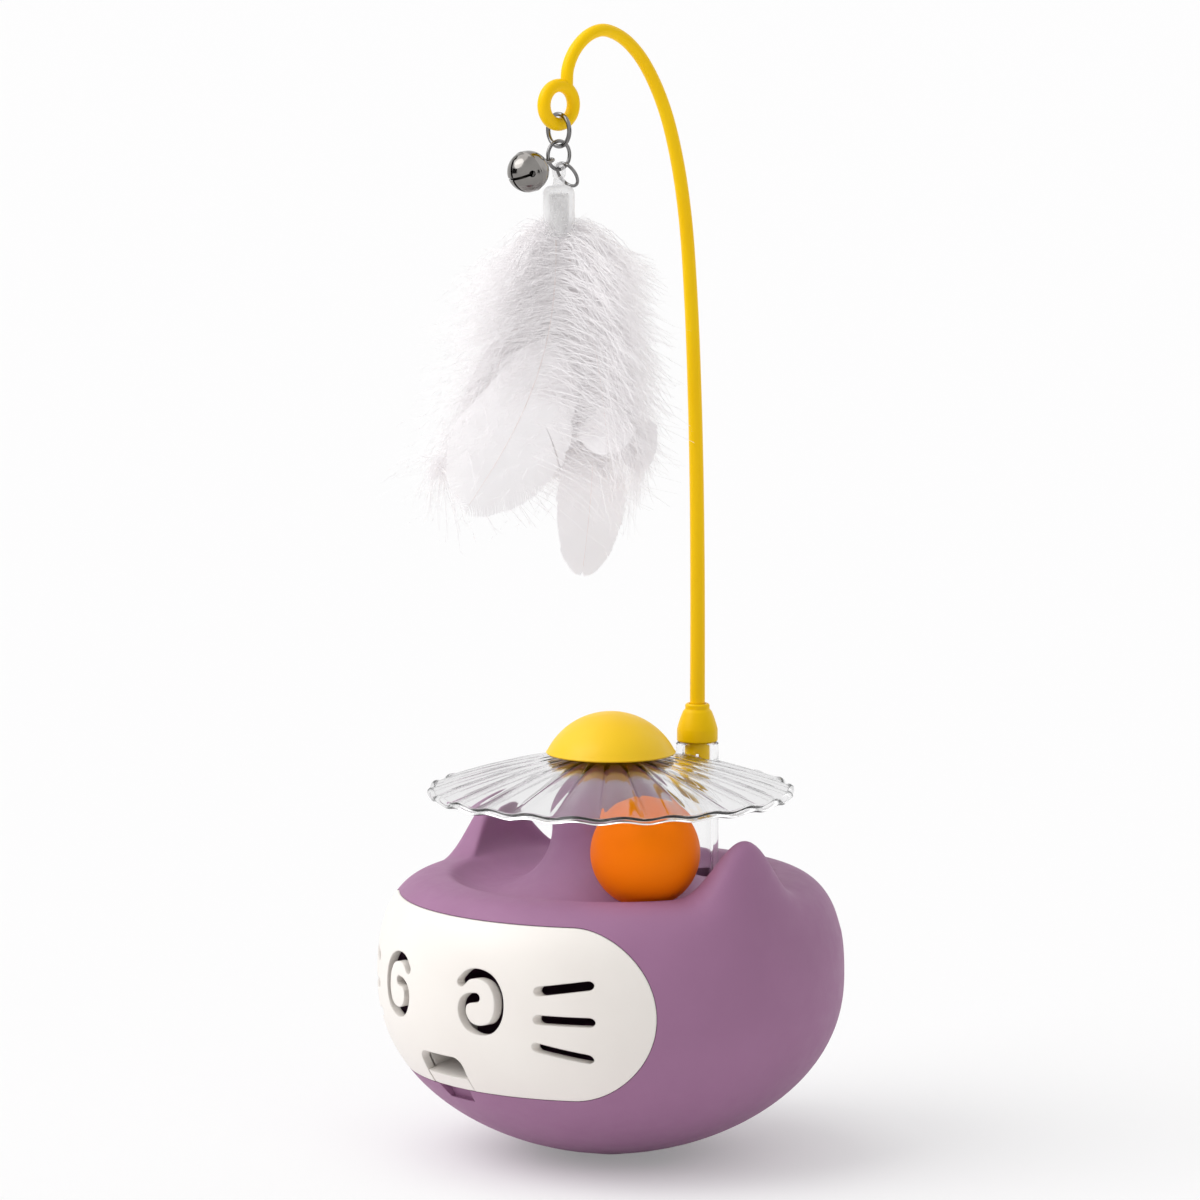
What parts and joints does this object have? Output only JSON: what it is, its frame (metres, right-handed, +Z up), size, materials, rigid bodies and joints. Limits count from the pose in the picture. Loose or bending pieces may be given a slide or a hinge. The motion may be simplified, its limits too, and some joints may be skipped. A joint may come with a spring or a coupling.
{
  "type": "wobble cat toy",
  "caption": "Round-bottomed cat toy with an ear-topped body, ball track under a clear canopy, treat mouth, and a sprung wand carrying a bell and feathers.",
  "frame": {"origin": "centre of the flat foot the toy rests on, under the body's axis", "axes": "+Z up, -Y out of the cat face, +X towards the face's left ear as a viewer in front sees the right"},
  "size_m": [0.1248, 0.1245, 0.3007],
  "materials": {
    "purple_shell": "fine matte",
    "white_mask": "satin",
    "orange_ball": "satin",
    "clear_canopy": "clear",
    "yellow_cap": "satin",
    "clear_tube": "clear",
    "yellow_wand": "satin",
    "steel_rings": "polished",
    "bell_metal": "polished",
    "clear_holder": "clear",
    "white_plug": "matte",
    "white_feather": "soft",
    "weight_steel": "plain",
    "screw_steel": "plain"
  },
  "bodies": {
    "base": {"body_shell": "purple_shell", "base_cap": "purple_shell", "counterweight": "weight_steel", "base_screw_left": "screw_steel", "base_screw_right": "screw_steel", "mouth_chute": "white_mask"},
    "mask": {"face_mask": "white_mask"},
    "canopy": {"canopy_disc": "clear_canopy"},
    "cap": {"dome_cap": "yellow_cap"},
    "ball": {"track_ball": "orange_ball"},
    "tube": {"wand_tube": "clear_tube"},
    "wand": {"wand_ferrule": "yellow_wand", "wand_rod": "yellow_wand"},
    "link_a": {"upper_link_ring": "steel_rings"},
    "link_b": {"lower_link_ring": "steel_rings"},
    "side_link": {"side_link_ring": "steel_rings"},
    "bell": {"bell_shell": "bell_metal"},
    "pellet": {"bell_pellet": "bell_metal"},
    "feathers": {"feather_holder": "clear_holder", "quill_plug": "white_plug", "feather_front": "white_feather", "feather_front_right": "white_feather", "feather_left": "white_feather", "feather_right": "white_feather", "feather_back": "white_feather", "feather_long": "white_feather"}
  },
  "joints": [
    {"name": "mask_pull", "type": "slide", "parent": "base", "child": "mask", "axis": [0, -1, 0], "range_m": [0, 0.032]},
    {"name": "canopy_lift", "type": "slide", "parent": "base", "child": "canopy", "axis": [0, 0, 1], "range_m": [0, 0.02]},
    {"name": "cap_turn", "type": "hinge", "parent": "canopy", "child": "cap", "pos_m": [0, 0, 0.11], "axis": [0, 0, 1], "continuous": true},
    {"name": "ball_orbit", "type": "hinge", "parent": "base", "child": "ball", "pos_m": [0, 0, 0.0858], "axis": [0, 0, 1], "range_deg": [-205, 76]},
    {"name": "tube_lift", "type": "slide", "parent": "base", "child": "tube", "axis": [0, 0, 1], "range_m": [0, 0.01]},
    {"name": "wand_turn", "type": "hinge", "parent": "tube", "child": "wand", "pos_m": [0, 0.031, 0.112], "axis": [0, 0, 1], "continuous": true},
    {"name": "upper_link_swing", "type": "hinge", "parent": "wand", "child": "link_a", "pos_m": [0, -0.01815, 0.27492], "axis": [0, 1, 0], "range_deg": [-35, 35]},
    {"name": "lower_link_swing", "type": "hinge", "parent": "link_a", "child": "link_b", "pos_m": [0, -0.01815, 0.26917], "axis": [1, 0, 0], "range_deg": [-35, 15]},
    {"name": "feather_swing", "type": "hinge", "parent": "link_b", "child": "feathers", "pos_m": [0, -0.01815, 0.26317], "axis": [0, 1, 0], "range_deg": [-30, 30]},
    {"name": "bell_swing", "type": "hinge", "parent": "link_b", "child": "bell", "pos_m": [0, -0.02163, 0.2656], "axis": [-1, 0, 0], "range_deg": [0, 35]},
    {"name": "pellet_roll", "type": "hinge", "parent": "bell", "child": "pellet", "pos_m": [0, -0.02863, 0.26305], "axis": [1, 0, 0], "range_deg": [-60, 60]},
    {"name": "side_link_swing", "type": "hinge", "parent": "link_b", "child": "side_link", "pos_m": [0, -0.0163, 0.26366], "axis": [1, 0, 0], "range_deg": [0, 24]}
  ]
}
